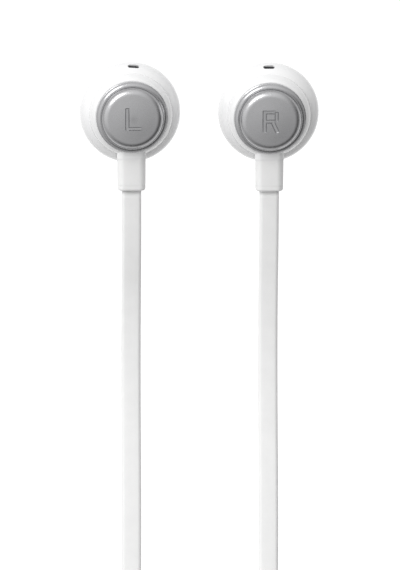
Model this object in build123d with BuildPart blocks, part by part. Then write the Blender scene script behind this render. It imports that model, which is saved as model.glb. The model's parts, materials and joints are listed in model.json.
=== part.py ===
"""Neck-cord earphones with a wireless remote: two open-type ear buds on flat cords, laid out on a table.

Units are millimetres. +Z is up, the table is z = 0, the caps face up and the cords run toward -Y.
The origin is under the middle of the buds and pods, which lie end to end along Y.
"""
from build123d import *
from math import cos, pi, radians, sin, sqrt, tan
import os

os.makedirs("parts", exist_ok=True)

# ---- driving dimensions: layout ----
bud_spacing = 23.25
bud_top = 82.8                     # the buds' far edge; the pods end as far the other way
cover_radius = 8.5
bud_centre_y = bud_top - cover_radius

# How each bud lies on its ear side: lean toward the cord, and lean toward +X.
bud_leans = {"left": (11.7, 4.6), "right": (14.5, 2.5)}

# Where each bud's vent sits, turned round the cap's axis from straight opposite the stem.
vent_turns = {"left": -3.8, "right": 0.0}

# ---- driving dimensions: ear bud, in its own frame (+Z out through the cap, -Y down the stem) ----
cover_depth = 4.8                  # from the widest circle down to the ear side
shoulder_radius = 3.18
parting_radius = 7.0
parting_height = 2.7
wall = 0.7
shell_top = 5.0
shell_top_radius = 6.15
ring_radius = 6.0
plate_radius = 5.1
plate_top = 7.8
plate_edge = 1.1
vent_length = 1.95
vent_width = 0.85
vent_rise = 31.0                   # how far up the shoulder the vent's middle sits, in degrees
stem_width = 4.75
stem_depth = 3.1
stem_height = 3.35                 # the stem's middle above the widest circle
stem_start = 7.25
stem_end = 12.7
nozzle_lean = 24.0
nozzle_length = 5.2
nozzle_half_width = 2.6
nozzle_half_height = 3.4

# ---- driving dimensions: 12.5 mm driver ----
driver_radius = 6.25
driver_front = -1.6
driver_back = 1.6
yoke_radius = 3.3
coil_inner = 2.42
coil_outer = 2.72

# ---- driving dimensions: pods ----
pod_width = 9.6
pod_length = 42.0
pod_height = 7.0
pod_corner = 3.2
pod_edge = 1.7
pod_wall = 0.9
pod_split = 3.3
boot_length = 4.0
boot_width = 4.9
boot_height = 2.9
boot_middle = 3.5
running_gap = 0.12

# ---- driving dimensions: flat cord ----
cord_width = 3.3
cord_thickness = 1.2
cord_area = (cord_width - cord_thickness) * cord_thickness + pi * cord_thickness**2 / 4
cord_rest = 0.62                   # the cord's middle above the table where it lies flat

pod_end_y = -bud_top
pod_middle_y = pod_end_y + boot_length + pod_length / 2
pod_start_y = pod_middle_y + pod_length / 2 + boot_length

# ---- driving dimensions: coil of the neck cord, standing on edge ----
coil_centre_y = pod_end_y - 52.0
coil_core = 9.0                    # radius of the two half turns in the middle
coil_pitch = 1.35
coil_base = 0.55


def save(piece, name):
    piece.part.label = name
    export_step(piece.part, f"parts/{name}.step")


def ring_dip(plane, half_a, half_b):
    """How far an ellipse drawn on a plane reaches below its own centre."""
    return sqrt((half_a * plane.x_dir.Z) ** 2 + (half_b * plane.y_dir.Z) ** 2)


def nozzle_plane(bud, side):
    """Plane of the nozzle's root: its normal runs down and outward, to the ear canal."""
    root = bud.from_local_coords(Vector(side * 1.4, 0, -2.2))
    down = bud.x_dir * side * sin(radians(nozzle_lean)) - bud.z_dir * cos(radians(nozzle_lean))
    return Plane(origin=root, x_dir=bud.y_dir, z_dir=down)


def bud_plane(side, leans, height=0.0):
    return Plane(Location((side * bud_spacing / 2, bud_centre_y, height), (leans[0], leans[1], 0)))


def lying_bud(side, leans):
    """The bud's own plane at the height where the nozzle's rim touches the table."""
    tip = nozzle_plane(bud_plane(side, leans), side).offset(nozzle_length)
    return bud_plane(side, leans, ring_dip(tip, nozzle_half_height, nozzle_half_width) - tip.origin.Z)


def profile(bud):
    """Half-section plane: x is the radius, y is the height along the cap's axis."""
    return Plane(origin=bud.origin, x_dir=bud.x_dir, z_dir=-bud.y_dir)


def spin_axis(bud):
    return Axis(bud.origin, bud.z_dir)


def stem_plane(bud, distance):
    """Cross-section of the stem at a distance from the cap's axis, facing the cord end."""
    start = bud.from_local_coords(Vector(0, -distance, stem_height))
    return Plane(origin=start, x_dir=bud.x_dir, z_dir=-bud.y_dir)


# ======================= ear buds =======================

def make_front_cover(bud, side, name):
    shoulder_centre = cover_radius - shoulder_radius
    inner_shoulder = shoulder_radius - wall
    inner_radius = cover_radius - wall
    seat_radius = 6.35
    with BuildPart() as front_cover:
        with BuildSketch(profile(bud)):
            with BuildLine():
                EllipticalCenterArc((0, 0), cover_radius, cover_depth, start_angle=270, arc_size=90)
                RadiusArc((cover_radius, 0), (parting_radius, parting_height), -shoulder_radius)
                Polyline((parting_radius, parting_height), (0, parting_height), (0, -cover_depth))
            make_face()
        revolve(axis=spin_axis(bud))
        nozzle = nozzle_plane(bud, side)
        mouth = (nozzle_length, nozzle_half_height, nozzle_half_width)
        for reach, half_height, half_width in ((0, 6.0, 5.0), (2.6, 4.3, 3.5), mouth):
            with BuildSketch(nozzle.offset(reach)):
                Ellipse(half_height, half_width)
        loft()
        with BuildSketch(profile(bud)):
            with BuildLine():
                top_x = shoulder_centre + sqrt(inner_shoulder**2 - 2.2**2)
                EllipticalCenterArc((0, 0), inner_radius, cover_depth - wall, start_angle=270, arc_size=90)
                RadiusArc((inner_radius, 0), (top_x, 2.2), -inner_shoulder)
                Polyline((top_x, 2.2), (seat_radius, 2.2), (seat_radius, 3.0), (0, 3.0))
                Line((0, 3.0), (0, wall - cover_depth))
            make_face()
        revolve(axis=spin_axis(bud), mode=Mode.SUBTRACT)
        mouth = (nozzle_length + 0.01, nozzle_half_height - 0.6, nozzle_half_width - 0.6)
        for reach, half_height, half_width in ((0, 5.3, 4.3), (2.6, 3.6, 2.8), mouth):
            with BuildSketch(nozzle.offset(reach)):
                Ellipse(half_height, half_width)
        loft(mode=Mode.SUBTRACT)
        # recess for the ear grille in the nozzle's mouth
        with BuildSketch(nozzle.offset(nozzle_length)):
            Ellipse(3.05, 2.25)
        extrude(amount=-0.7, mode=Mode.SUBTRACT)
        # shelf that the driver is glued on
        with BuildSketch(bud.offset(driver_front - 0.5)):
            Circle(7.0)
            Circle(5.6, mode=Mode.SUBTRACT)
        extrude(amount=0.5)
        # notch for the stem
        with BuildSketch(stem_plane(bud, 5.5)):
            Rectangle(stem_width + 0.26, stem_depth + 0.2)
        extrude(amount=3.6, mode=Mode.SUBTRACT)
        # vent slot on the shoulder, opposite the stem
        with BuildSketch(vent_plane(bud, vent_turns[name])):
            SlotOverall(vent_length, vent_width)
        extrude(amount=1.0, both=True, mode=Mode.SUBTRACT)
    save(front_cover, name + "_front_cover")


def vent_plane(bud, turn):
    """Tangent plane of the shoulder at the vent, its normal pointing out of the bud."""
    rise = radians(vent_rise)
    away = bud.y_dir.rotate(Axis((0, 0, 0), bud.z_dir), turn)
    reach = cover_radius - shoulder_radius + shoulder_radius * cos(rise)
    centre = bud.origin + away * reach + bud.z_dir * shoulder_radius * sin(rise)
    return Plane(origin=centre, x_dir=away.cross(bud.z_dir), z_dir=away * cos(rise) + bud.z_dir * sin(rise))


def make_vent_mesh(bud, name):
    with BuildPart() as vent_mesh:
        with BuildSketch(vent_plane(bud, vent_turns[name]).offset(-0.45)):
            SlotOverall(vent_length - 0.02, vent_width - 0.02)
            with GridLocations(0.32, 0.3, 5, 2):
                Circle(0.09, mode=Mode.SUBTRACT)
        extrude(amount=0.12)
    save(vent_mesh, name + "_vent_mesh")


def make_ear_grille(bud, side, name):
    with BuildPart() as ear_grille:
        with BuildSketch(nozzle_plane(bud, side).offset(nozzle_length - 0.55)):
            Ellipse(3.0, 2.2)
            with HexLocations(0.45, 5, 5):
                Circle(0.2, mode=Mode.SUBTRACT)
        extrude(amount=0.25)
    save(ear_grille, name + "_ear_grille")


def make_rear_shell(bud, name):
    spigot_radius = 6.28
    with BuildPart() as rear_shell:
        with BuildSketch(profile(bud)):
            with BuildLine():
                Polyline((0, parting_height + 0.05), (parting_radius, parting_height + 0.05))
                RadiusArc((parting_radius, parting_height + 0.05), (shell_top_radius, shell_top), -4.0)
                Polyline((shell_top_radius, shell_top), (0, shell_top), (0, parting_height + 0.05))
            make_face()
        revolve(axis=spin_axis(bud))
        # collar that the stem boot is bonded into
        with BuildSketch(stem_plane(bud, 5.6)):
            RectangleRounded(stem_width + 0.2, stem_depth + 0.1, 1.2)
        extrude(amount=stem_start - 5.6)
        with BuildSketch(bud.offset(2.0)):
            Circle(spigot_radius)
        extrude(amount=0.8)
        with BuildSketch(profile(bud)):
            with BuildLine():
                Polyline((0, 1.9), (5.7, 1.9), (5.7, 2.8), (6.3, 2.9), (5.75, 4.4))
                Polyline((5.75, 4.4), (5.5, 4.4), (5.5, 5.1), (0, 5.1), (0, 1.9))
            make_face()
        revolve(axis=spin_axis(bud), mode=Mode.SUBTRACT)
        with BuildSketch(stem_plane(bud, 4.4)):
            RectangleRounded(4.0, 2.3, 0.8)
        extrude(amount=3.0, mode=Mode.SUBTRACT)
    save(rear_shell, name + "_rear_shell")


def make_trim_ring(bud, name):
    with BuildPart() as trim_ring:
        with BuildSketch(profile(bud)):
            with BuildLine():
                Polyline((4.6, 4.45), (5.45, 4.45), (5.45, shell_top), (ring_radius - 0.05, shell_top))
                Polyline((ring_radius - 0.05, shell_top), (ring_radius, 5.06), (ring_radius, 5.3))
                Line((ring_radius, 5.3), (5.88, 5.4))
                ThreePointArc((5.88, 5.4), (5.45, 5.55), (5.2, 5.95))
                Polyline((5.2, 5.95), (5.13, 5.95), (5.13, 4.75), (4.6, 4.75), (4.6, 4.45))
            make_face()
        revolve(axis=spin_axis(bud))
    save(trim_ring, name + "_trim_ring")


# Straight strokes of the side letters L and R: middle, length, height and turn of each.
letter_strokes = {
    "left": [(-0.95, 0.06, 0.85, 3.9, 0), (0.14, -1.6, 2.9, 0.8, 0)],
    "right": [
        (-1.05, 0, 0.85, 4.0, 0),
        (-0.2, 1.58, 2.1, 0.8, 0),
        (-0.2, 0.02, 2.1, 0.8, 0),
        (0.95, 0.8, 0.8, 1.9, 0),
        (0.72, -1.0, 0.85, 2.3, 25),
    ],
}


def make_face_plate(bud, name):
    shoulder = plate_top - 0.2
    dome_edge = plate_radius - plate_edge
    dome_radius = (dome_edge**2 + 0.2**2) / (2 * 0.2)      # a dome whose centre is on the axis
    with BuildPart() as face_plate:
        with BuildSketch(profile(bud)):
            with BuildLine():
                Polyline((0, plate_top), (0, plate_top - 0.6), (3.9, 7.0), (4.6, 6.4), (4.6, 4.77))
                Polyline((4.6, 4.77), (plate_radius, 4.77), (plate_radius, shoulder - plate_edge))
                RadiusArc((plate_radius, shoulder - plate_edge), (dome_edge, shoulder), -plate_edge)
                RadiusArc((dome_edge, shoulder), (0, plate_top), -dome_radius)
            make_face()
        revolve(axis=spin_axis(bud))
        # side letter, cut stroke by stroke with sloped walls
        for x, y, length, height, turn in letter_strokes[name]:
            for drop, inset in ((-0.08, 0), (0.24, 0.45)):
                with BuildSketch(bud.offset(plate_top - drop)):
                    with Locations(Location((x, y, 0), (0, 0, turn))):
                        Rectangle(length - inset, height - inset)
            loft(mode=Mode.SUBTRACT)
    save(face_plate, name + "_face_plate")


def make_stem_boot(bud, name):
    with BuildPart() as stem_boot:
        with BuildSketch(stem_plane(bud, stem_start)):
            RectangleRounded(stem_width, stem_depth, 1.2)
        with BuildSketch(stem_plane(bud, stem_end)):
            RectangleRounded(stem_width - 0.1, stem_depth - 0.1, 1.15)
        loft()
        end_edges = stem_boot.faces().sort_by(Axis((0, 0, 0), -bud.y_dir))[-1].edges()
        fillet(end_edges, radius=0.4)
        # fine groove round the sleeve, a little before its end
        with BuildSketch(stem_plane(bud, stem_end - 1.0)):
            RectangleRounded(stem_width + 1, stem_depth + 1, 1.2)
            RectangleRounded(stem_width - 0.24, stem_depth - 0.24, 1.1, mode=Mode.SUBTRACT)
        extrude(amount=0.12, mode=Mode.SUBTRACT)
        # plug that sits in the rear shell's collar
        with BuildSketch(stem_plane(bud, 6.0)):
            RectangleRounded(3.9, 2.2, 0.75)
        extrude(amount=stem_start - 6.0)
    save(stem_boot, name + "_stem_boot")


def make_driver(bud, name):
    axis = spin_axis(bud)
    half_section = profile(bud)

    seat = yoke_radius + 0.05
    with BuildPart() as driver_frame:
        with BuildSketch(half_section):
            with BuildLine():
                Polyline((5.9, driver_front), (driver_radius, driver_front), (driver_radius, driver_back))
                Polyline((driver_radius, driver_back), (seat, driver_back), (seat, 1.3), (5.9, 1.3))
                Line((5.9, 1.3), (5.9, driver_front))
            make_face()
        revolve(axis=axis)
        with BuildSketch(bud.offset(1.2)):
            with PolarLocations(4.75, 6, start_angle=30):
                Circle(0.5)
        extrude(amount=0.6, mode=Mode.SUBTRACT)
    save(driver_frame, name + "_driver_frame")

    with BuildPart() as driver_yoke:
        with BuildSketch(half_section):
            with BuildLine():
                Polyline((0, 1.9), (0, 1.42), (2.95, 1.42), (2.95, -0.2), (yoke_radius, -0.2))
                Polyline((yoke_radius, -0.2), (yoke_radius, 1.9), (0, 1.9))
            make_face()
        revolve(axis=axis)
    save(driver_yoke, name + "_driver_yoke")

    with BuildPart() as driver_magnet:
        with BuildSketch(bud.offset(0.2)):
            Circle(2.2)
        extrude(amount=1.2)
    save(driver_magnet, name + "_driver_magnet")

    with BuildPart() as pole_plate:
        with BuildSketch(bud.offset(-0.22)):
            Circle(2.3)
        extrude(amount=0.4)
    save(pole_plate, name + "_pole_plate")

    with BuildPart() as voice_coil:
        with BuildSketch(bud.offset(-1.0)):
            Circle(coil_outer)
            Circle(coil_inner, mode=Mode.SUBTRACT)
        extrude(amount=1.25)
    save(voice_coil, name + "_voice_coil")

    dome_radius = (2.4**2 + 0.45**2) / (2 * 0.45)      # a dome whose centre is on the axis
    with BuildPart() as diaphragm:
        with BuildSketch(half_section):
            with BuildLine():
                RadiusArc((0, -1.45), (2.4, -1.0), -dome_radius)
                Line((2.4, -1.0), (2.78, -1.0))
                ThreePointArc((2.78, -1.0), (4.1, -1.22), (5.3, -1.25))
                Line((5.3, -1.25), (5.3, -1.33))
                ThreePointArc((5.3, -1.33), (4.1, -1.3), (2.78, -1.08))
                Line((2.78, -1.08), (2.4, -1.08))
                RadiusArc((2.4, -1.08), (0, -1.53), dome_radius)
                Line((0, -1.53), (0, -1.45))
            make_face()
        revolve(axis=axis)
    save(diaphragm, name + "_diaphragm")

    with BuildPart() as driver_ring:
        with BuildSketch(half_section):
            with BuildLine():
                ThreePointArc((5.36, -1.3), (5.6, -1.52), (5.86, -1.3))
                Polyline((5.86, -1.3), (5.86, -1.1), (5.7, -1.1))
                ThreePointArc((5.7, -1.1), (5.58, -1.38), (5.42, -1.25))
                Line((5.42, -1.25), (5.36, -1.3))
            make_face()
        revolve(axis=axis)
    save(driver_ring, name + "_driver_ring")

    board_middle = bud.from_local_coords(Vector(0, -4.4, 1.62))
    with BuildPart() as terminal_board:
        with BuildSketch(Plane(origin=board_middle, x_dir=bud.x_dir, z_dir=bud.z_dir)):
            RectangleRounded(3.0, 1.5, 0.2)
        extrude(amount=0.22)
        with BuildSketch(Plane(origin=board_middle, x_dir=bud.x_dir, z_dir=bud.z_dir).offset(0.22)):
            with GridLocations(1.4, 0, 2, 1):
                RectangleRounded(0.9, 0.9, 0.2)
        extrude(amount=0.1)
    save(terminal_board, name + "_terminal_board")

    with BuildPart() as bud_wires:
        for offset_x in (-0.7, 0.7):
            route = [
                bud.from_local_coords(Vector(offset_x, -6.0, stem_height)),
                bud.from_local_coords(Vector(offset_x, -4.9, stem_height)),
                bud.from_local_coords(Vector(offset_x, -4.4, 1.94)),
            ]
            with BuildLine() as wire_path:
                FilletPolyline(*route, radius=0.5)
            with BuildSketch(Plane(origin=route[0], x_dir=bud.x_dir, z_dir=bud.y_dir)):
                Circle(0.17)
            sweep(path=wire_path.line)
    save(bud_wires, name + "_bud_wires")


buds = {}
for name, side in (("left", -1), ("right", 1)):
    bud = lying_bud(side, bud_leans[name])
    buds[name] = bud
    make_front_cover(bud, side, name)
    make_vent_mesh(bud, name)
    make_ear_grille(bud, side, name)
    make_rear_shell(bud, name)
    make_trim_ring(bud, name)
    make_face_plate(bud, name)
    make_stem_boot(bud, name)
    make_driver(bud, name)
    print(name, "bud centre", bud.origin, "cap axis", bud.z_dir)


# ======================= pods =======================

def pod_plane(side, height=0.0):
    return Plane(origin=(side * bud_spacing / 2, pod_middle_y, height))


def pod_front(side, y):
    """Upright cross-section of a pod or boot, facing the neck end."""
    return Plane(origin=(side * bud_spacing / 2, y, boot_middle), x_dir=(1, 0, 0), z_dir=(0, -1, 0))


def pod_body(side):
    """The closed outer form that both halves of a pod are cut from."""
    with BuildPart() as body:
        with BuildSketch(pod_plane(side)):
            RectangleRounded(pod_width, pod_length, pod_corner)
        extrude(amount=pod_height)
        rims = body.faces().filter_by(Axis.Z).edges()
        fillet(rims, radius=pod_edge)
    return body.part


def pod_half(side, low, high):
    """Hollow slice of a pod between two heights, with a mouth at each end for the cord boots."""
    with BuildPart() as half:
        add(pod_body(side))
        with BuildSketch(pod_plane(side, pod_wall)):
            RectangleRounded(pod_width - 2 * pod_wall, pod_length - 2 * pod_wall, pod_corner - pod_wall)
        extrude(amount=pod_height - 2 * pod_wall, mode=Mode.SUBTRACT)
        with BuildSketch(pod_plane(side, low)):
            Rectangle(pod_width + 2, pod_length + 2)
        extrude(amount=high - low, mode=Mode.INTERSECT)
        with BuildSketch(pod_front(side, pod_middle_y + pod_length)):
            RectangleRounded(boot_width - 0.6, boot_height - 0.6, 0.7)
        extrude(amount=2 * pod_length, mode=Mode.SUBTRACT)
    return half.part


def make_boot(side, y, direction, name):
    """Soft boot where the cord enters a pod; direction is +1 at the ear end, -1 at the neck end."""
    mouth = Plane(origin=(side * bud_spacing / 2, y, boot_middle), x_dir=(1, 0, 0), z_dir=(0, direction, 0))
    with BuildPart() as boot:
        with BuildSketch(mouth):
            RectangleRounded(boot_width, boot_height, 1.1)
        with BuildSketch(mouth.offset(boot_length)):
            RectangleRounded(4.1, 2.1, 0.9)
        loft()
        outer_edges = boot.faces().sort_by(Axis.Y)[-1 if direction > 0 else 0].edges()
        fillet(outer_edges, radius=0.3)
        # tongue through the pod's end wall, with a head inside
        with BuildSketch(mouth.offset(-pod_wall - 0.6)):
            RectangleRounded(boot_width - 0.8, boot_height - 0.8, 0.65)
        extrude(amount=pod_wall + 0.6)
        with BuildSketch(mouth.offset(-pod_wall - 1.5)):
            RectangleRounded(boot_width, boot_height - 0.2, 0.8)
        extrude(amount=0.9)
    save(boot, name)


pod_ear_y = pod_middle_y + pod_length / 2
pod_neck_y = pod_middle_y - pod_length / 2

# ---- remote, on the right cord ----
remote = pod_plane(1)
button_travel = 0.35
button_top = pod_height + 0.45
button_flange_top = pod_height - pod_wall - 0.05
play_button_y = 5.0
button_pitch = 8.6
play_size = (4.6, 5.0)
side_button_size = (4.6, 5.8)
button_corner = 2.2

light_place = (-1.2, 18.4)
microphone_place = (1.9, 18.4)

usb_middle_y = -12.3
usb_width = 7.5
usb_height = 2.6
usb_depth = 5.2
usb_cover_length = 9.2
usb_cover_height = 3.1
usb_cover_thickness = 0.8
usb_face_x = pod_width / 2
usb_plane = Plane(
    origin=(bud_spacing / 2 + usb_face_x, pod_middle_y + usb_middle_y, boot_middle),
    x_dir=(0, 1, 0),
    z_dir=(1, 0, 0),
)
hinge_radius = 0.5
hinge_y = usb_middle_y - usb_cover_length / 2 + hinge_radius


def button_window(size):
    RectangleRounded(size[0] + 2 * running_gap, size[1] + 2 * running_gap, button_corner)


def usb_window():
    RectangleRounded(usb_width + 0.1, usb_height + 0.1, 0.6)


def usb_recess():
    RectangleRounded(usb_cover_length + 0.3, usb_cover_height + 0.3, 0.8)


with BuildPart() as remote_upper_shell:
    add(pod_half(1, pod_split + 0.03, pod_height))
    # button windows, status light and microphone hole in the top
    with BuildSketch(remote.offset(pod_height - 2)):
        with Locations((0, play_button_y)):
            button_window(play_size)
            with GridLocations(0, 2 * button_pitch, 1, 2):
                button_window(side_button_size)
        with Locations(light_place):
            Circle(0.55)
        with Locations(microphone_place):
            Circle(0.3)
    extrude(amount=3, mode=Mode.SUBTRACT)
    with BuildSketch(usb_plane):
        usb_window()
    extrude(amount=-2, mode=Mode.SUBTRACT)
    with BuildSketch(usb_plane):
        usb_recess()
    extrude(amount=-usb_cover_thickness + 0.15, mode=Mode.SUBTRACT)
save(remote_upper_shell, "remote_upper_shell")

with BuildPart() as remote_lower_shell:
    add(pod_half(1, 0, pod_split))
    with BuildSketch(usb_plane):
        usb_window()
    extrude(amount=-2, mode=Mode.SUBTRACT)
    with BuildSketch(usb_plane):
        usb_recess()
    extrude(amount=-usb_cover_thickness + 0.15, mode=Mode.SUBTRACT)
save(remote_lower_shell, "remote_lower_shell")


def button_dish(plane):
    """Shallow finger dish, cut from the middle button's top."""
    return Pos(plane.origin + Vector(0, 0, button_top + 5.85)) * Sphere(6.0)


def make_button(name, middle_y, size):
    plane = Plane(origin=(bud_spacing / 2, pod_middle_y + middle_y, 0))
    dish = button_dish(plane)
    with BuildPart() as button:
        with BuildSketch(plane.offset(button_flange_top - 0.3)):
            RectangleRounded(size[0], size[1], button_corner - running_gap)
        extrude(amount=button_top - button_flange_top + 0.3)
        fillet(button.faces().sort_by(Axis.Z)[-1].edges(), radius=0.35)
        with BuildSketch(plane.offset(button_flange_top - 0.5)):
            RectangleRounded(size[0] + 1.2, size[1] + 1.0, button_corner)
        extrude(amount=0.5)
        with BuildSketch(plane.offset(button_flange_top - 0.9)):
            Circle(0.8)
        extrude(amount=0.5)
        if name == "play_button":
            add(dish, mode=Mode.SUBTRACT)
        else:
            # raised plus or minus sign
            with BuildSketch(plane.offset(button_top - 0.02)):
                Rectangle(1.6, 0.35)
                if name == "volume_up_button":
                    Rectangle(0.35, 1.6)
            extrude(amount=0.15)
    save(button, name)


make_button("volume_up_button", play_button_y + button_pitch, side_button_size)
make_button("play_button", play_button_y, play_size)
make_button("volume_down_button", play_button_y - button_pitch, side_button_size)

board_top = 2.9
with BuildPart() as tact_switches:
    with BuildSketch(remote.offset(board_top)):
        with Locations((0, play_button_y)):
            with GridLocations(0, button_pitch, 1, 3):
                RectangleRounded(3.0, 3.0, 0.3)
    extrude(amount=1.3)
    with BuildSketch(remote.offset(board_top + 1.3)):
        with Locations((0, play_button_y)):
            with GridLocations(0, button_pitch, 1, 3):
                Circle(0.75)
    extrude(amount=button_flange_top - 0.9 - button_travel - 0.06 - board_top - 1.3)
save(tact_switches, "tact_switches")

with BuildPart() as circuit_board:
    with BuildSketch(remote.offset(board_top - 0.6)):
        RectangleRounded(pod_width - 2 * pod_wall - 0.3, 35.0, 1.0)
        with Locations((pod_width / 2, usb_middle_y)):
            Rectangle(2 * usb_depth + 2.6, usb_width + 0.8, mode=Mode.SUBTRACT)
    extrude(amount=0.6)
save(circuit_board, "circuit_board")

with BuildPart() as bluetooth_module:
    with BuildSketch(remote.offset(board_top - 0.6 - 0.9)):
        with Locations((-0.4, 3.0)):
            RectangleRounded(5.4, 7.0, 0.3)
    extrude(amount=0.9)
save(bluetooth_module, "bluetooth_module")

with BuildPart() as chip_antenna:
    with BuildSketch(remote.offset(board_top)):
        with Locations((0, 16.3)):
            Rectangle(5.2, 1.6)
    extrude(amount=1.0)
save(chip_antenna, "chip_antenna")

with BuildPart() as usb_socket:
    with BuildSketch(usb_plane.offset(-usb_cover_thickness - 0.05)):
        RectangleRounded(usb_width, usb_height, 0.55)
    extrude(amount=-usb_depth)
    with BuildSketch(usb_plane.offset(-usb_cover_thickness - 0.05)):
        RectangleRounded(usb_width - 0.6, usb_height - 0.6, 0.35)
    extrude(amount=-usb_depth + 0.4, mode=Mode.SUBTRACT)
    with BuildSketch(usb_plane.offset(-usb_cover_thickness - 0.05 - usb_depth + 0.4)):
        Rectangle(3.7, 0.6)
    extrude(amount=3.4)
save(usb_socket, "usb_socket")

with BuildPart() as usb_cover:
    with BuildSketch(usb_plane.offset(-usb_cover_thickness + 0.2)):
        with Locations((hinge_radius / 2, 0)):
            RectangleRounded(usb_cover_length - hinge_radius, usb_cover_height, 0.7)
    extrude(amount=usb_cover_thickness - 0.15)
    hinge_x = bud_spacing / 2 + usb_face_x - 0.15
    hinge_base = Plane(origin=(hinge_x, pod_middle_y + hinge_y, boot_middle - usb_cover_height / 2))
    with BuildSketch(hinge_base):
        Circle(0.42)
    extrude(amount=usb_cover_height)
    # thumb lip at the free end
    with BuildSketch(usb_plane.offset(0.04)):
        with Locations((usb_cover_length / 2 - 0.7, 0)):
            RectangleRounded(0.9, 1.8, 0.4)
    extrude(amount=0.35)
save(usb_cover, "usb_cover")

with BuildPart() as microphone:
    with BuildSketch(remote.offset(pod_height - pod_wall - 0.02)):
        with Locations(microphone_place):
            Rectangle(1.6, 1.6)
    extrude(amount=-1.1)
save(microphone, "microphone")

with BuildPart() as status_light:
    with BuildSketch(remote.offset(pod_height - pod_wall - 0.4)):
        with Locations(light_place):
            Circle(0.5)
    extrude(amount=pod_wall + 0.35)
save(status_light, "status_light")

make_boot(1, pod_ear_y, 1, "remote_boot_ear")
make_boot(1, pod_neck_y, -1, "remote_boot_neck")

# ---- battery pod, on the left cord ----
battery = pod_plane(-1)

with BuildPart() as battery_upper_shell:
    add(pod_half(-1, pod_split + 0.03, pod_height))
save(battery_upper_shell, "battery_upper_shell")

with BuildPart() as battery_lower_shell:
    add(pod_half(-1, 0, pod_split))
save(battery_lower_shell, "battery_lower_shell")

with BuildPart() as battery_cell:
    with BuildSketch(battery.offset(1.1)):
        with Locations((0, -2.0)):
            RectangleRounded(7.2, 27.0, 0.8)
    extrude(amount=3.8)
    fillet(battery_cell.edges().filter_by(Axis.Y), radius=0.8)
save(battery_cell, "battery_cell")

with BuildPart() as battery_board:
    with BuildSketch(battery.offset(2.2)):
        with Locations((0, 14.3)):
            RectangleRounded(6.6, 3.6, 0.4)
    extrude(amount=0.6)
    with BuildSketch(battery.offset(2.8)):
        with Locations((-1.4, 14.3)):
            Rectangle(2.0, 1.8)
    extrude(amount=0.7)
save(battery_board, "battery_board")

make_boot(-1, pod_ear_y, 1, "battery_boot_ear")
make_boot(-1, pod_neck_y, -1, "battery_boot_neck")


# ======================= cords =======================

def corner_radii(route):
    """Arc radius for each inner point: 0.45 of the shorter run over the tangent of half the turn."""
    radii = []
    for before, corner, after in zip(route, route[1:], route[2:]):
        first = corner - before
        second = after - corner
        half_turn = radians(first.get_angle(second)) / 2
        radii.append(0.45 * min(first.length, second.length) / tan(half_turn))
    return radii


def report_cord(name, part, route, length):
    runs = [(b - a).length for a, b in zip(route, route[1:])]
    radii = corner_radii(route)
    print(name, "runs", [round(r, 1) for r in runs], "radii", [round(r, 1) for r in radii])
    expected = cord_area * length
    print(name, "length", round(length, 2), "volume", round(part.volume, 2), "expected", round(expected, 2))


def lead_route(name, side):
    """Points of a lead: out of the stem, down to the table, along it, and up into the pod's boot."""
    bud = buds[name]
    x = side * bud_spacing / 2
    start = bud.from_local_coords(Vector(0, -stem_end, stem_height))
    leaving = bud.from_local_coords(Vector(0, -stem_end - 8.0, stem_height))
    drift = -0.15
    return [
        start,
        leaving,
        Vector(x + side * 0.02, bud_centre_y - 33.0, 2.6),
        Vector(x + drift / 3, bud_centre_y - 47.0, cord_rest),
        Vector(x + drift, bud_centre_y - 68.0, cord_rest),
        Vector(x, bud_centre_y - 90.0, cord_rest),
        Vector(x, pod_start_y + 7.0, boot_middle),
        Vector(x, pod_start_y, boot_middle),
    ]


def make_lead(name, side):
    route = lead_route(name, side)
    start_plane = Plane(origin=route[0], x_dir=(1, 0, 0), z_dir=route[1] - route[0])
    with BuildPart() as lead:
        with BuildLine() as path:
            FilletPolyline(*route, radius=corner_radii(route))
        with BuildSketch(start_plane):
            SlotOverall(cord_width, cord_thickness)
        sweep(path=path.line)
    report_cord(name + "_lead", lead.part, route, path.wire().length)
    save(lead, name + "_lead")


make_lead("left", -1)
make_lead("right", 1)

cord_edge_rest = coil_base + cord_width / 2       # the cord's middle where it stands on edge

# The coil is a double spiral: two half turns in the middle and one arm from each, both growing
# outward the same way. The remote's arm leaves at exit_right and the battery's at exit_left.
exit_right = 39.0
exit_left = 80.0
sweep_right = 409.5
sweep_left = sweep_right - 180.0 + exit_left - exit_right
arm_start = 2 * coil_core
radius_right = arm_start + coil_pitch * sweep_right / 180
radius_left = arm_start + coil_pitch * sweep_left / 180


def coil_point(radius, angle):
    return Vector(radius * cos(radians(angle)), coil_centre_y + radius * sin(radians(angle)), cord_edge_rest)


neck_routes = {
    "right": [
        Vector(bud_spacing / 2, pod_end_y, boot_middle),
        Vector(bud_spacing / 2, -89.3, boot_middle),
        Vector(11.63, -98.3, cord_edge_rest),
        Vector(11.63, -111.8, cord_edge_rest),
        Vector(14.07, -118.7, cord_edge_rest),
        Vector(18.26, -123.9, cord_edge_rest),
    ],
    "left": [
        Vector(-bud_spacing / 2, pod_end_y, boot_middle),
        Vector(-bud_spacing / 2, -87.8, boot_middle),
        Vector(-11.63, -93.3, cord_edge_rest),
        Vector(-11.63, -101.4, cord_edge_rest),
        Vector(-7.74, -109.1, cord_edge_rest),
        Vector(-0.79, -114.3, cord_edge_rest),
        Vector(6.92, -115.7, cord_edge_rest),
    ],
}


def make_neck_cord(name):
    """Round tube with the flat cord's own section area, since the real cord turns on edge here."""
    route = neck_routes[name]
    with BuildPart() as neck_cord:
        with BuildLine() as path:
            FilletPolyline(*route, radius=corner_radii(route))
        with BuildSketch(Plane(origin=route[0], z_dir=route[1] - route[0])):
            Circle(sqrt(cord_area / pi))
        sweep(path=path.line)
    report_cord("neck_cord_" + name, neck_cord.part, route, path.wire().length)
    save(neck_cord, "neck_cord_" + name)
    return path.wire().length


neck_length = make_neck_cord("left") + make_neck_cord("right")

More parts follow.
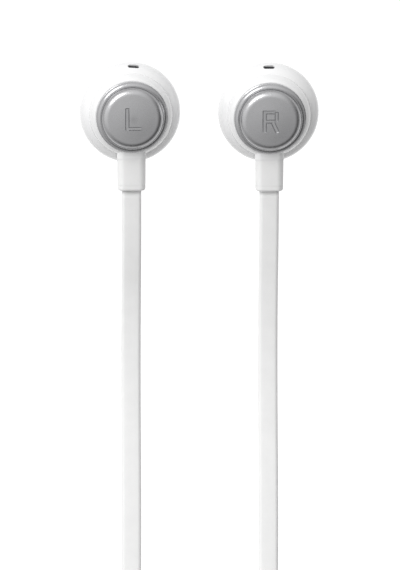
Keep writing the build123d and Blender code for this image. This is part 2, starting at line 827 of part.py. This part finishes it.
with BuildPart() as neck_coil:
    with BuildSketch(Plane.XY.offset(coil_base)):
        with Locations((0, coil_centre_y)):
            Circle(radius_right + cord_thickness / 2)
            Circle(arm_start - cord_thickness / 2, mode=Mode.SUBTRACT)
        for turn in (0, 180):
            middle = coil_point(coil_core, exit_right - sweep_right + turn)
            half_turn_start = exit_right - sweep_right + turn - 180
            half_turn = CenterArc((middle.X, middle.Y), coil_core, half_turn_start, 180, mode=Mode.PRIVATE)
            SlotArc(half_turn, cord_thickness)
    extrude(amount=cord_width)
save(neck_coil, "neck_coil")
coil_turns = 2 * pi * coil_core + pi / 180 * (
    sweep_right * (arm_start + radius_right) / 2 + sweep_left * (arm_start + radius_left) / 2
)
print("neck cord", round(neck_length, 1), "free and", round(coil_turns, 1), "in the coil")

tie_thickness = 0.5
tie_width = 2.5
ring_inside = arm_start - cord_thickness / 2
ring_outside = radius_right + cord_thickness / 2
with BuildPart() as coil_ties:
    for angle in (12, 195):
        across = Plane(
            origin=(0, coil_centre_y, coil_base - tie_thickness - 0.02),
            x_dir=(cos(radians(angle)), sin(radians(angle)), 0),
            z_dir=(0, 0, 1),
        )
        loop_height = cord_width + 2 * tie_thickness + 0.04
        with BuildSketch(across):
            with Locations(((ring_inside + ring_outside) / 2, 0)):
                Rectangle(ring_outside - ring_inside + 2 * tie_thickness + 0.4, tie_width)
        extrude(amount=loop_height)
        with BuildSketch(across.offset(tie_thickness)):
            with Locations(((ring_inside + ring_outside) / 2, 0)):
                Rectangle(ring_outside - ring_inside + 0.4, tie_width + 1)
        extrude(amount=loop_height - 2 * tie_thickness, mode=Mode.SUBTRACT)
save(coil_ties, "coil_ties")
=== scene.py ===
"""Neck-cord earphones lying on a white table: looks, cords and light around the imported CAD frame."""
import json
from math import cos, pi, radians, sin

import bmesh
import bpy
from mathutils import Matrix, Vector


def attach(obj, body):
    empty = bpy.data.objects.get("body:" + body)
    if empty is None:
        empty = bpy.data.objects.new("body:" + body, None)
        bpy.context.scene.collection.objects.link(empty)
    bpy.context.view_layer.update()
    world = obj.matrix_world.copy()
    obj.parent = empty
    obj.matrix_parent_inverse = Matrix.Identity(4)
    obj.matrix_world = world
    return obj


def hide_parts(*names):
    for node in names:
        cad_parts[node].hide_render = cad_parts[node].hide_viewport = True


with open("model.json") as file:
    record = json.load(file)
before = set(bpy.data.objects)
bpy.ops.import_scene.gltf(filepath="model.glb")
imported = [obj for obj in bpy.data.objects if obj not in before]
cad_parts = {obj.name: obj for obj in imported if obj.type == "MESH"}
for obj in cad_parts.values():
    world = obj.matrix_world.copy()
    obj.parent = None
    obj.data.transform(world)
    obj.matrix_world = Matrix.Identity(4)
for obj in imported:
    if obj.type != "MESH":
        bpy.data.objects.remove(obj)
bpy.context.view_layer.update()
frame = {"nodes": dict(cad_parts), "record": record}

MM = 0.001
SIDES = ("left", "right")
BODY = "earphones"
nodes = frame["nodes"]


# ---------------------------------------------------------------- camera

SENSOR = 36.0
LENS = 300.0
FRAME_HEIGHT = 95.8 * MM           # what the picture's long side covers at the buds' widest circle
BUD_PLANE = 8.0 * MM
VIEW_CENTRE = (0.15 * MM, 45.2 * MM)


def make_camera():
    data = bpy.data.cameras.new("camera")
    data.lens = LENS
    data.sensor_width = SENSOR
    data.clip_start = 0.01
    data.clip_end = 10
    camera = bpy.data.objects.new("camera", data)
    bpy.context.scene.collection.objects.link(camera)
    camera.location = (*VIEW_CENTRE, BUD_PLANE + FRAME_HEIGHT * LENS / SENSOR)
    bpy.context.scene.camera = camera


# ---------------------------------------------------------------- materials

def new_material(name, color, roughness, metallic=0.0, **sockets):
    material = bpy.data.materials.new(name)
    material.use_nodes = True
    shader = material.node_tree.nodes["Principled BSDF"]
    shader.inputs["Base Color"].default_value = (*color, 1)
    shader.inputs["Roughness"].default_value = roughness
    shader.inputs["Metallic"].default_value = metallic
    for socket, value in sockets.items():
        shader.inputs[socket.replace("_", " ")].default_value = value
    return material


def add_node(material, kind, **inputs):
    node = material.node_tree.nodes.new(kind)
    for socket, value in inputs.items():
        node.inputs[socket.replace("_", " ")].default_value = value
    return node


def link(material, source, target):
    material.node_tree.links.new(source, target)


def object_noise(material, scale, detail=3.0, stretch=(1, 1, 1)):
    """Noise in object space, whose units are metres, so scale is in cells per metre."""
    coordinates = add_node(material, "ShaderNodeTexCoord")
    mapping = add_node(material, "ShaderNodeMapping")
    mapping.inputs["Scale"].default_value = stretch
    noise = add_node(material, "ShaderNodeTexNoise", Scale=scale, Detail=detail)
    link(material, coordinates.outputs["Object"], mapping.inputs["Vector"])
    link(material, mapping.outputs["Vector"], noise.inputs["Vector"])
    return noise.outputs["Fac"]


def add_bump(material, height, strength, distance):
    bump = add_node(material, "ShaderNodeBump", Strength=strength, Distance=distance)
    link(material, height, bump.inputs["Height"])
    link(material, bump.outputs["Normal"], material.node_tree.nodes["Principled BSDF"].inputs["Normal"])


def vary(material, socket, factor, low, high):
    """Drives a shader socket with a noise, between two values or two colours."""
    target = material.node_tree.nodes["Principled BSDF"].inputs[socket]
    if isinstance(low, tuple):
        ramp = add_node(material, "ShaderNodeValToRGB")
        ramp.color_ramp.elements[0].position = 0.35
        ramp.color_ramp.elements[1].position = 0.65
        ramp.color_ramp.elements[0].color = (*low, 1)
        ramp.color_ramp.elements[1].color = (*high, 1)
        link(material, factor, ramp.inputs["Fac"])
        link(material, ramp.outputs["Color"], target)
        return
    spread = add_node(material, "ShaderNodeMapRange")
    spread.inputs["From Min"].default_value = 0.35
    spread.inputs["From Max"].default_value = 0.65
    spread.inputs["To Min"].default_value = low
    spread.inputs["To Max"].default_value = high
    link(material, factor, spread.inputs["Value"])
    link(material, spread.outputs["Result"], target)


def gloss_white():
    """Glossy moulded shell plastic: faint colour drift and a very slight waviness."""
    m = new_material("gloss_white", (0.9, 0.9, 0.905), 0.12, Coat_Weight=0.35, Coat_Roughness=0.04)
    drift = object_noise(m, 160)
    vary(m, "Base Color", drift, (0.865, 0.865, 0.872), (0.895, 0.895, 0.897))
    vary(m, "Roughness", object_noise(m, 900), 0.10, 0.15)
    add_bump(m, object_noise(m, 260, 1.0), 0.10, 0.0002)
    return m


def satin_cap():
    """Metallised cap with a fine grain."""
    m = new_material("satin_cap", (0.52, 0.52, 0.53), 0.3, 1.0)
    grain = object_noise(m, 9000, 4.0)
    vary(m, "Roughness", object_noise(m, 2500), 0.27, 0.34)
    vary(m, "Base Color", grain, (0.50, 0.50, 0.51), (0.55, 0.55, 0.56))
    add_bump(m, grain, 0.25, 0.00002)
    return m


def bright_ring():
    m = new_material("bright_ring", (0.50, 0.50, 0.51), 0.24, 1.0)
    vary(m, "Roughness", object_noise(m, 3000), 0.21, 0.28)
    add_bump(m, object_noise(m, 7000, 2.0), 0.1, 0.00001)
    return m


def elastomer(name, color, roughness, grain_scale):
    """Soft-touch rubber: a matte skin with a very fine texture and uneven tone."""
    m = new_material(name, color, roughness, Subsurface_Weight=0.12, Subsurface_Scale=0.0012,
                     Subsurface_Radius=(1, 1, 1))
    darker = tuple(c * 0.975 for c in color)
    vary(m, "Base Color", object_noise(m, 420), darker, color)
    vary(m, "Roughness", object_noise(m, 1800), roughness - 0.05, roughness + 0.06)
    add_bump(m, object_noise(m, grain_scale, 3.0), 0.18, 0.00002)
    return m


def plain_metal(name, color, roughness, grain_scale=6000):
    m = new_material(name, color, roughness, 1.0)
    vary(m, "Roughness", object_noise(m, grain_scale), roughness - 0.06, roughness + 0.08)
    add_bump(m, object_noise(m, grain_scale, 2.0, (1, 6, 1)), 0.2, 0.00001)
    return m


def hard_plastic(name, color, roughness):
    m = new_material(name, color, roughness)
    darker = tuple(c * 0.85 for c in color)
    vary(m, "Base Color", object_noise(m, 700), darker, color)
    add_bump(m, object_noise(m, 5000, 3.0), 0.25, 0.00002)
    return m


def circuit_green():
    """Soldermask over copper: lighter traces in a grid of cells."""
    m = new_material("board_green", (0.03, 0.16, 0.07), 0.35)
    coordinates = add_node(m, "ShaderNodeTexCoord")
    cells = add_node(m, "ShaderNodeTexVoronoi", Scale=900.0)
    cells.distance = "MANHATTAN"
    link(m, coordinates.outputs["Object"], cells.inputs["Vector"])
    vary(m, "Base Color", cells.outputs["Distance"], (0.05, 0.28, 0.12), (0.02, 0.13, 0.06))
    add_bump(m, cells.outputs["Distance"], 0.3, 0.00003)
    return m


def light_pipe():
    m = new_material("light_pipe", (0.9, 0.93, 0.95), 0.08, Transmission_Weight=0.7)
    vary(m, "Roughness", object_noise(m, 4000), 0.06, 0.14)
    return m


def make_materials():
    return {
        "gloss_white": gloss_white(),
        "satin_cap": satin_cap(),
        "bright_ring": bright_ring(),
        "soft_white": elastomer("soft_white", (0.89, 0.89, 0.887), 0.36, 5200),
        "cord_white": elastomer("cord_white", (0.88, 0.88, 0.877), 0.5, 4200),
        "dark_mesh": plain_metal("dark_mesh", (0.10, 0.10, 0.105), 0.4),
        "steel": plain_metal("steel", (0.62, 0.62, 0.63), 0.3),
        "magnet": plain_metal("magnet", (0.45, 0.45, 0.47), 0.22),
        "copper": plain_metal("copper", (0.78, 0.40, 0.22), 0.3, 9000),
        "film": hard_plastic("film", (0.72, 0.69, 0.60), 0.3),
        "black_plastic": hard_plastic("black_plastic", (0.03, 0.03, 0.032), 0.45),
        "board_green": circuit_green(),
        "cell_wrap": hard_plastic("cell_wrap", (0.30, 0.32, 0.36), 0.35),
        "wire_coat": hard_plastic("wire_coat", (0.55, 0.06, 0.04), 0.3),
        "light_pipe": light_pipe(),
    }


# ---------------------------------------------------------------- flat cords

CORD_WIDTH = 3.3 * MM
CORD_THICKNESS = 1.2 * MM

LEAD_ROUTES = {
    "left": [
        (-11.356, 61.187, 8.603), (-11.356, 53.353, 6.980), (-11.52, 41.3, 2.6), (-11.58, 27.3, 0.62),
        (-11.44, 6.3, 0.62), (-11.56, -15.7, 0.62), (-11.625, -25.8, 3.5), (-11.625, -32.8, 3.5),
    ],
    "right": [
        (11.771, 61.167, 8.187), (11.771, 53.421, 6.184), (11.62, 41.3, 2.6), (11.64, 27.3, 0.62),
        (11.79, 6.3, 0.62), (11.70, -15.7, 0.62), (11.625, -25.8, 3.5), (11.625, -32.8, 3.5),
    ],
}
EDGE_REST = 2.2
NECK_RIGHT = [
    (11.625, -82.8, 3.5), (11.625, -89.3, 3.5), (11.63, -98.3, EDGE_REST), (11.63, -111.8, EDGE_REST),
    (14.07, -118.7, EDGE_REST),
]
NECK_LEFT = [
    (-0.79, -114.3, EDGE_REST), (-7.74, -109.1, EDGE_REST), (-11.63, -101.4, EDGE_REST),
    (-11.63, -93.3, EDGE_REST), (-11.625, -87.8, 3.5), (-11.625, -82.8, 3.5),
]
COIL_CENTRE_Y = -134.8
COIL_CORE = 9.0
COIL_PITCH = 1.35
EXIT_RIGHT, EXIT_LEFT = 39.0, 80.0
SWEEP_RIGHT = 409.5
SWEEP_LEFT = SWEEP_RIGHT - 180 + EXIT_LEFT - EXIT_RIGHT


def coil_points():
    """The coil: the remote's arm inward, the two half turns, then the battery's arm outward."""
    points = []

    def place(centre_x, centre_y, radius, angle, step):
        reach = radius / cos(radians(step) / 2)
        x = centre_x + reach * cos(radians(angle))
        y = centre_y + reach * sin(radians(angle))
        points.append((x, y, EDGE_REST))

    def arm(sweep, end_angle, inward):
        count = round(sweep / 15)
        step = sweep / count
        turned = [(i + 0.5) * step for i in range(count)]
        for done in reversed(turned) if inward else turned:
            radius = 2 * COIL_CORE + COIL_PITCH * done / 180
            place(0, COIL_CENTRE_Y, radius, end_angle - sweep + done, step)

    start = EXIT_RIGHT - SWEEP_RIGHT
    arm(SWEEP_RIGHT, EXIT_RIGHT, inward=True)
    half_turn_steps = 12
    step = 180 / half_turn_steps
    for turn, direction in ((0, -1), (180, 1)):
        x = COIL_CORE * cos(radians(start + turn))
        y = COIL_CENTRE_Y + COIL_CORE * sin(radians(start + turn))
        first = start if direction < 0 else start + turn - 180
        for i in range(half_turn_steps):
            place(x, y, COIL_CORE, first + direction * (i + 0.5) * step, step)
    arm(SWEEP_LEFT, EXIT_LEFT, inward=False)
    return points


def sample_route(name, route):
    """Points of the smooth NURBS line that has the route's points as its control points."""
    curve = bpy.data.curves.new(name + "_line", "CURVE")
    curve.dimensions = "3D"
    curve.resolution_u = 10
    spline = curve.splines.new("NURBS")
    spline.points.add(len(route) - 1)
    for point, place in zip(spline.points, route):
        point.co = (*(value * MM for value in place), 1)
    spline.order_u = 3
    spline.use_endpoint_u = True
    carrier = bpy.data.objects.new(name + "_line", curve)
    bpy.context.scene.collection.objects.link(carrier)
    bpy.context.view_layer.update()
    mesh = bpy.data.meshes.new_from_object(carrier)
    line = [v.co.copy() for v in mesh.vertices]
    bpy.data.meshes.remove(mesh)
    bpy.data.objects.remove(carrier)
    bpy.data.curves.remove(curve)
    return line


def stadium(count=14):
    """Outline of the flat cord's section: round ends, with slightly crowned faces."""
    half = (CORD_WIDTH - CORD_THICKNESS) / 2
    radius = CORD_THICKNESS / 2
    outline = []
    for sign in (1, -1):
        for i in range(count + 1):
            angle = -pi / 2 + pi * i / count
            outline.append((sign * (half + radius * cos(angle)), sign * radius * sin(angle)))
        outline.append((sign * half * 0.5, sign * radius * 1.004))
        outline.append((0.0, sign * radius * 1.006))
        outline.append((-sign * half * 0.5, sign * radius * 1.004))
    return outline


def ribbon(name, line, across_at):
    """Sweeps the flat section along a line; across_at(distance, tangent) gives the width direction."""
    mesh_data = bpy.data.meshes.new(name)
    bm = bmesh.new()
    outline = stadium()
    distance = 0.0
    rings = []
    for i, point in enumerate(line):
        tangent = (line[min(i + 1, len(line) - 1)] - line[max(i - 1, 0)]).normalized()
        if i:
            distance += (point - line[i - 1]).length
        across = across_at(distance, tangent)
        across = (across - tangent * across.dot(tangent)).normalized()
        up = across.cross(tangent).normalized()
        rings.append([bm.verts.new(point + across * u + up * v) for u, v in outline])
    for first, second in zip(rings, rings[1:]):
        for k in range(len(outline)):
            after = (k + 1) % len(outline)
            bm.faces.new((first[k], first[after], second[after], second[k]))
    bm.faces.new(list(reversed(rings[0])))
    bm.faces.new(rings[-1])
    bmesh.ops.recalc_face_normals(bm, faces=bm.faces)
    for face in bm.faces:
        face.smooth = len(face.verts) == 4
    bm.to_mesh(mesh_data)
    bm.free()
    piece = bpy.data.objects.new(name, mesh_data)
    bpy.context.scene.collection.objects.link(piece)
    return piece


def length_of(line):
    return sum((b - a).length for a, b in zip(line, line[1:]))


def smooth_step(value, low, high):
    t = min(max((value - low) / (high - low), 0), 1)
    return t * t * (3 - 2 * t)


BUD_ACROSS = {"left": Vector((0.9968, 0.0163, -0.0785)), "right": Vector((0.9990, 0.0109, -0.0422))}


def make_leads(materials):
    for side in SIDES:
        line = sample_route(side + "_lead", LEAD_ROUTES[side])

        def across_at(distance, tangent):
            level = smooth_step(distance, 0, 20 * MM)
            return BUD_ACROSS[side].lerp(Vector((1, 0, 0)), level)

        piece = ribbon(side + "_flat_lead", line, across_at)
        piece.data.materials.append(materials["cord_white"])
        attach(piece, BODY)
        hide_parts(side + "_lead")


def make_neck_cord(materials):
    """The neck cord: flat at both boots, then turned on edge, and coiled."""
    line = sample_route("neck_cord", NECK_RIGHT + coil_points() + NECK_LEFT)
    total = length_of(line)

    def across_at(distance, tangent):
        level = Vector((tangent.y, -tangent.x, 0)).normalized()
        upright = level.cross(tangent)
        from_end = min(distance, total - distance)
        roll = pi / 2 * smooth_step(from_end, 1.5 * MM, 15 * MM)
        return level * cos(roll) + upright * sin(roll)

    piece = ribbon("flat_neck_cord", line, across_at)
    piece.data.materials.append(materials["cord_white"])
    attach(piece, BODY)
    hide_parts("neck_cord_left", "neck_cord_right", "neck_coil")


# ---------------------------------------------------------------- CAD nodes that show as they are

WELD_DISTANCE = 0.001 * MM
CRISP_ANGLE = radians(28)


def dress_nodes(materials):
    """Smooth shading with crisp edges, and the record's material slot, on every CAD node."""
    for part in frame["record"]["subparts"]:
        node = nodes[part["node"]]
        weld = node.modifiers.new("weld", "WELD")
        weld.merge_threshold = WELD_DISTANCE
        for face in node.data.polygons:
            face.use_smooth = True
        smooth = node.modifiers.new("edges", "EDGE_SPLIT")
        smooth.split_angle = CRISP_ANGLE
        node.data.materials.clear()
        node.data.materials.append(materials[part["material_slot"]])


# ---------------------------------------------------------------- table and light

TABLE_SIZE = 6.0
KEY_PLACE = (-0.45, 0.55, 0.75)
KEY_AIM = (0, 0.07, 0.005)
KEY_SIZE = 0.5
KEY_POWER = 4.0
BRIGHTEST_SIDE = Vector((-0.55, 0.60, 0.58))


def make_floor():
    """A white light table, whose glow falls off toward grazing angles."""
    data = bpy.data.meshes.new("table")
    half = TABLE_SIZE / 2
    corners = [(-half, -half, 0), (half, -half, 0), (half, half, 0), (-half, half, 0)]
    data.from_pydata(corners, [], [(0, 1, 2, 3)])
    floor = bpy.data.objects.new("table", data)
    bpy.context.scene.collection.objects.link(floor)
    m = new_material("table_white", (0.12, 0.12, 0.12), 0.9,
                     Specular_IOR_Level=0.0, Emission_Color=(1, 1, 1, 1))
    facing = add_node(m, "ShaderNodeLayerWeight", Blend=0.5)
    glow = add_node(m, "ShaderNodeMapRange")
    glow.inputs["From Min"].default_value = 0.05
    glow.inputs["From Max"].default_value = 0.6
    glow.inputs["To Min"].default_value = 1.05
    glow.inputs["To Max"].default_value = 0.45
    link(m, facing.outputs["Facing"], glow.inputs["Value"])
    link(m, glow.outputs["Result"], m.node_tree.nodes["Principled BSDF"].inputs["Emission Strength"])
    data.materials.append(m)


def area_light(name, place, aim, size, power):
    data = bpy.data.lights.new(name, "AREA")
    data.shape = "RECTANGLE"
    data.size = size
    data.size_y = size
    data.energy = power
    light = bpy.data.objects.new(name, data)
    bpy.context.scene.collection.objects.link(light)
    light.location = place
    light.rotation_euler = (Vector(aim) - Vector(place)).to_track_quat("-Z", "Y").to_euler()


def make_world():
    """Soft studio surround, brightest over the far left and dimmest toward the near right."""
    world = bpy.data.worlds.new("studio")
    world.use_nodes = True
    tree = world.node_tree
    direction = tree.nodes.new("ShaderNodeTexCoord")
    side = tree.nodes.new("ShaderNodeVectorMath")
    side.operation = "DOT_PRODUCT"
    side.inputs[1].default_value = BRIGHTEST_SIDE.normalized()
    strength = tree.nodes.new("ShaderNodeMapRange")
    strength.interpolation_type = "SMOOTHSTEP"
    strength.inputs["From Min"].default_value = -0.55
    strength.inputs["From Max"].default_value = 0.85
    strength.inputs["To Min"].default_value = 0.10
    strength.inputs["To Max"].default_value = 1.02
    tree.links.new(direction.outputs["Generated"], side.inputs[0])
    tree.links.new(side.outputs["Value"], strength.inputs["Value"])
    tree.links.new(strength.outputs["Result"], tree.nodes["Background"].inputs["Strength"])
    tree.nodes["Background"].inputs["Color"].default_value = (1, 1, 1, 1)
    bpy.context.scene.world = world


def make_lights():
    make_world()
    area_light("key", KEY_PLACE, KEY_AIM, KEY_SIZE, KEY_POWER)
    bpy.context.scene.view_settings.view_transform = "Standard"


make_camera()
materials = make_materials()
dress_nodes(materials)
make_leads(materials)
make_neck_cord(materials)
make_floor()
make_lights()
